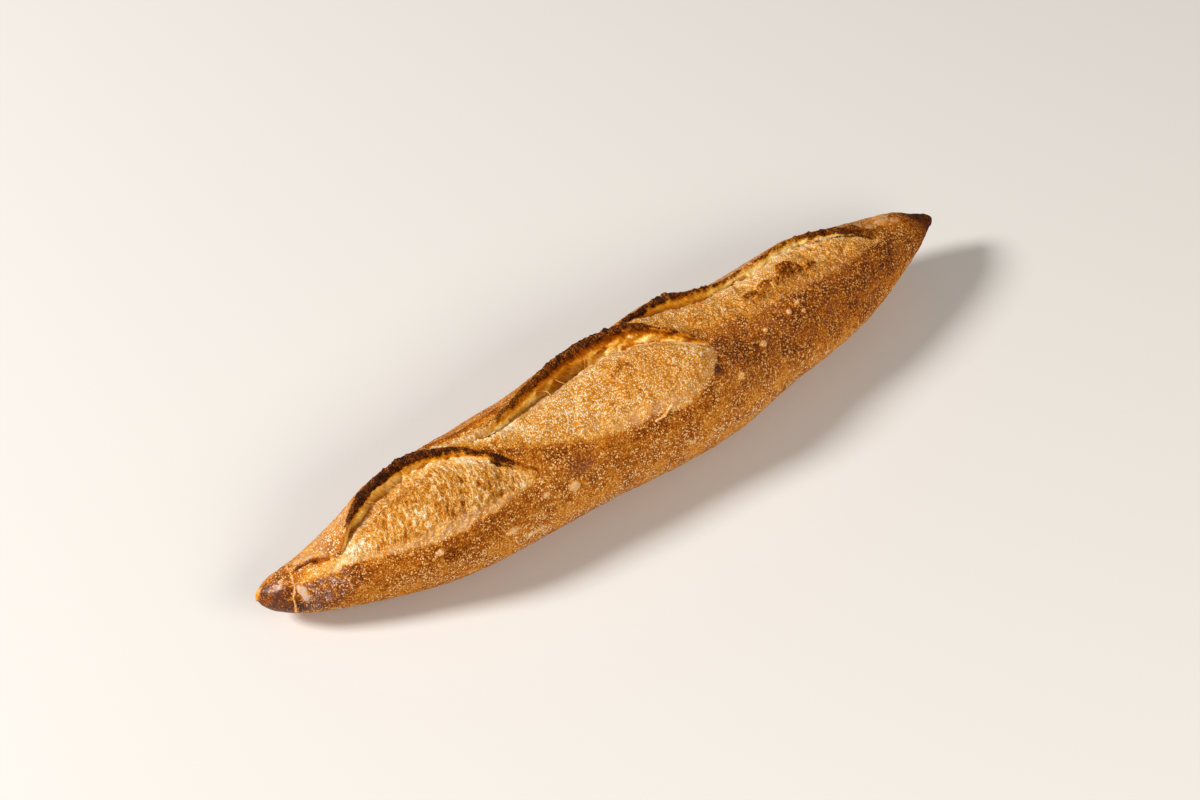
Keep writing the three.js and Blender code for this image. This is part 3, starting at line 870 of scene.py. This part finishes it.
# How each place is baked and shaded: as it was painted, changed by the patterns of crust, bloom or wall, or
# charred.
# On the blooms the grain tops and fibres are painted paler and the hollows between them darker, partly the
# crumb's tone and partly painted light and shade.
uneven = 0.45 * (mottle - 0.5) + 0.5 * (freckle - 0.5)
specks = speckle * (0.18 - 0.62 * fine_speck - 0.46 * glint_speck - 0.35 * pale_dome)
crust_change = (uneven + 0.7 * (grit - 0.5) + specks).at_least(-0.34)
grainy = 1 - 0.6 * in_web
grains = grainy * ((0.24 - puff) + 0.3 * (0.4 - grain_tone))
torn_threads = in_web * (0.22 * web + 0.34 * fibre - 0.16)
bloom_change = 0.7 * uneven + grains + 0.3 * (grit - 0.5) - torn_threads
bloom_change = bloom_change.at_most(0.26).at_least(-0.22)
change = crust_change + in_bloom * (bloom_change - crust_change)
change = change + in_wall * (0.6 * (streak - 0.5) + 0.5 * (freckle - 0.5) - change)
baked = surface.attribute("bake") + change
char_level = 0.50 + 0.34 * burn + 0.9 * (freckle - 0.5) + 1.5 * (grit - 0.5) + 0.9 * (streak - 0.5)
baked = baked + charred * (char_level - baked)

# Its colour, with a painted glow of thrown light inside the slits, a painted grey reflection on the char, and
# a dusty or scalded haze.
colour = surface.node("ShaderNodeValToRGB", {"stops": BAKED}, {0: baked})
# The painted glow: pale crumb of the walls tinted warm, as if lit from inside the slit.
glowing = surface.node("ShaderNodeVectorMath", {"operation": "MULTIPLY"}, {0: colour, 1: GLOW})
colour = (in_wall * baked.within(-0.1, 0.1)).blend(colour, glowing)
# The painted reflection: grey mixed into the char's colour.
colour = (0.1 * charred * burn).blend(colour, PAINTED_CHAR_REFLECTION)
haze = surface.attribute("dust") * (2.6 * freckle.within(0.38, 0.68) + 0.8 * (grit - 0.5))
haze_colour = baked.within(0.45, 0.8).blend(DUST, SCALD)
colour = haze.at_most(0.85).blend(colour, haze_colour)

# Its fine relief, in millimetres, and its gloss.
crust_bumps = speckle * (0.15 * fine_speck + 0.25 * pale_dome)
bloom_bumps = in_bloom * (0.22 * puff * grainy + in_web * (0.16 * web + 0.24 * fibre))
char_bumps = charred * (freckle + 1.4 * grit)
bumps = 0.12 * grit + 0.15 * freckle + (crust_bumps + bloom_bumps) + in_wall * 0.3 * streak + char_bumps
bump = surface.node("ShaderNodeBump", {}, {"Height": bumps, "Distance": MM, "Strength": 1.0})
roughness = 0.58 - 0.2 * sheen + 0.2 * (freckle - 0.5) + 0.2 * charred
coat = 0.5 * sheen + 0.05 * charred
shader.inputs["Specular IOR Level"].default_value = 0.02
shader.inputs["Coat Roughness"].default_value = 0.28
colour.feed(shader, "Base Color")
roughness.feed(shader, "Roughness")
coat.feed(shader, "Coat Weight")
bump.feed(shader, "Normal")
loaf.data.materials.append(crust)

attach(loaf, "root")
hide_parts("loaf")

# The strands
# Threads of crumb that stayed stretched across the slashes when the dough tore open in the oven.
# Each runs from the wall under an ear over to the bloom, with both ends grown into the loaf.

STRAND_THICKNESS = 0.26  # of a middling strand
THIN_TO_THICK = (0.35, 0.65)  # half of a strand's thickness, as shares of that
ROOT_DEPTH = 0.4  # how deep an end sits in the loaf
HANDLE = 0.35  # how far along the strand each end's handle stands, before the bow moves it
LOWEST_BOW = (-2.0, -1.2, 0.2)  # a strand bows out by somewhere between these two
HIGHEST_BOW = (2.0, 0.2, 1.8)
STRAND_SEED = 7

rng = np.random.default_rng(STRAND_SEED)
strand_pieces = []
for wall_end, bloom_end in strand_ends:
    start = Vector(shaped[wall_end] - ROOT_DEPTH * normals[wall_end])
    goal = Vector(shaped[bloom_end] - ROOT_DEPTH * normals[bloom_end])
    bow = Vector(rng.uniform(LOWEST_BOW, HIGHEST_BOW))
    bpy.ops.curve.primitive_bezier_curve_add(radius=MM)
    strand = bpy.context.object
    strand.location = (0, 0, 0)
    strand.data.bevel_depth = rng.uniform(*THIN_TO_THICK) * STRAND_THICKNESS * MM
    strand.data.bevel_resolution = 1
    strand.data.resolution_u = 8
    strand.data.use_fill_caps = True
    knots = strand.data.splines[0].bezier_points
    for knot, own, other in zip(knots, (start, goal), (goal, start)):
        knot.handle_left_type = "FREE"
        knot.handle_right_type = "FREE"
        knot.co = own * MM
        knot.handle_left = (own + (other - own) * HANDLE + bow) * MM
        knot.handle_right = knot.handle_left
    strand_pieces.append(strand)
bpy.ops.object.select_all(action="DESELECT")
for strand in strand_pieces:
    strand.select_set(True)
bpy.context.view_layer.objects.active = strand_pieces[0]
bpy.ops.object.convert(target="MESH")
bpy.ops.object.join()
strands = bpy.context.object
strands.name = "crumb_strands"
bpy.ops.object.shade_smooth()

crumb, crumb_shader, crumb_surface = start_material("torn_crumb")
crumb_bake = 0.1 + 0.35 * crumb_surface.noise(2.0)
crumb_colour = crumb_surface.node("ShaderNodeValToRGB", {"stops": BAKED}, {0: crumb_bake})
crumb_colour.feed(crumb_shader, "Base Color")
crumb_shader.inputs["Roughness"].default_value = 0.6
crumb_shader.inputs["Specular IOR Level"].default_value = 0.1
strands.data.materials.append(crumb)

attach(strands, "root")

# The floor
# A plain pale surface for the picture, not part of the loaf.
# It lies just under the loaf, so that the two don't share a plane.

FLOOR_SIZE = 6  # metres, as all sizes of the floor, the light and the camera
FLOOR_PAINT = (0.78, 0.76, 0.74, 1)
bpy.ops.mesh.primitive_plane_add(size=FLOOR_SIZE, location=(0, 0, -0.2 * MM))
floor = bpy.context.object
floor.name = "pale_floor"
floor_paint = bpy.data.materials.new("pale_paint")
floor_paint.use_nodes = True
floor_shader = floor_paint.node_tree.nodes["Principled BSDF"]
floor_shader.inputs["Base Color"].default_value = FLOOR_PAINT
floor_shader.inputs["Roughness"].default_value = 0.85
floor.data.materials.append(floor_paint)

# The light
# A round studio lamp behind the loaf on the left, a wide white board in front that throws light back,
# and faint warm light from all round.


def hang_light(name, direction, away, shape, sizes, power, colour):
    """Hangs an area light that far away in that direction, facing the loaf."""
    data = bpy.data.lights.new(name, "AREA")
    data.shape = shape
    data.size, data.size_y = sizes
    data.energy = power
    data.color = colour
    light = bpy.data.objects.new(name, data)
    light.location = direction * away
    light.rotation_euler = direction.to_track_quat("Z", "Y").to_euler()
    bpy.context.scene.collection.objects.link(light)


hang_light(
    "studio_lamp",
    direction=Vector((-0.694, 0.373, 0.616)),
    away=2.1,
    shape="DISK",
    sizes=(0.6, 0.6),
    power=48,
    colour=(1.0, 0.98, 0.95),
)
hang_light(
    "white_board",
    direction=Vector((0.1, -0.8, 0.59)),
    away=1.2,
    shape="RECTANGLE",
    sizes=(1.2, 0.4),
    power=7.5,
    colour=(1.0, 0.93, 0.84),
)

world = bpy.data.worlds.new("studio")
world.use_nodes = True
world.node_tree.nodes["Background"].inputs["Color"].default_value = (1.0, 0.95, 0.88, 1)
world.node_tree.nodes["Background"].inputs["Strength"].default_value = 0.2
bpy.context.scene.world = world

# The camera
# It looks down on the loaf from the front left, with the pointed end going away to the right.

CAMERA_DIRECTION = Vector((-0.4047, -0.5328, 0.7431))
CAMERA_DISTANCE = 1.0859
CAMERA_AIM = Vector((-0.0070, 0.0074, 0.0235))
CAMERA_LENS = 85
camera_data = bpy.data.cameras.new("camera")
camera_data.lens = CAMERA_LENS
camera = bpy.data.objects.new("camera", camera_data)
camera.location = CAMERA_AIM + CAMERA_DIRECTION * CAMERA_DISTANCE
camera.rotation_euler = CAMERA_DIRECTION.to_track_quat("Z", "Y").to_euler()
bpy.context.scene.collection.objects.link(camera)
bpy.context.scene.camera = camera
bpy.context.scene.view_settings.view_transform = "Standard"
